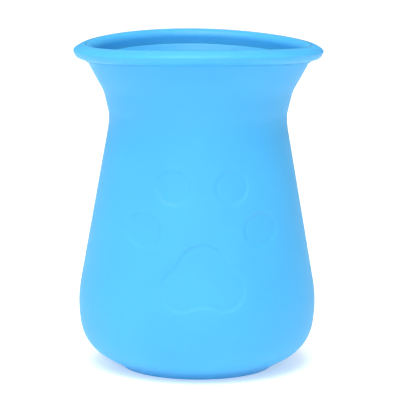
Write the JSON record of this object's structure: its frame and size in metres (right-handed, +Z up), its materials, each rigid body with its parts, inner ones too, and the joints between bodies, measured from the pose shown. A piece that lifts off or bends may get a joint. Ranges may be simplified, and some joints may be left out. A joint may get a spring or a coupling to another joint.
{
  "type": "paw washer cup",
  "caption": "Soft silicone cup with a narrow neck, flared mouth and thick rolled lip, holding a lift-out bristle sleeve that scrubs a muddy paw.",
  "frame": {"origin": "centre of the foot's underside, on the cup's axis", "axes": "+Z up along the cup's axis; -Y is the front, where the paw print is; +X is to the right seen from the front"},
  "size_m": [0.114, 0.114, 0.15],
  "materials": {
    "cup_silicone": "matte",
    "rim_silicone": "matte",
    "insert_silicone": "matte",
    "bristle_silicone": "matte"
  },
  "bodies": {
    "cup": {"outer_cup": "cup_silicone", "rim_bead": "rim_silicone"},
    "bristle_insert": {"insert_sleeve": "insert_silicone", "floor_nubs": "bristle_silicone", "bristle_ring_01": "bristle_silicone", "bristle_ring_02": "bristle_silicone", "bristle_ring_03": "bristle_silicone", "bristle_ring_04": "bristle_silicone", "bristle_ring_05": "bristle_silicone", "bristle_ring_06": "bristle_silicone", "bristle_ring_07": "bristle_silicone", "bristle_ring_08": "bristle_silicone", "bristle_ring_09": "bristle_silicone", "bristle_ring_10": "bristle_silicone", "bristle_ring_11": "bristle_silicone"}
  },
  "joints": [
    {"name": "insert_lift", "type": "slide", "parent": "cup", "child": "bristle_insert", "axis": [0, 0, 1], "range_m": [0, 0.15]}
  ]
}
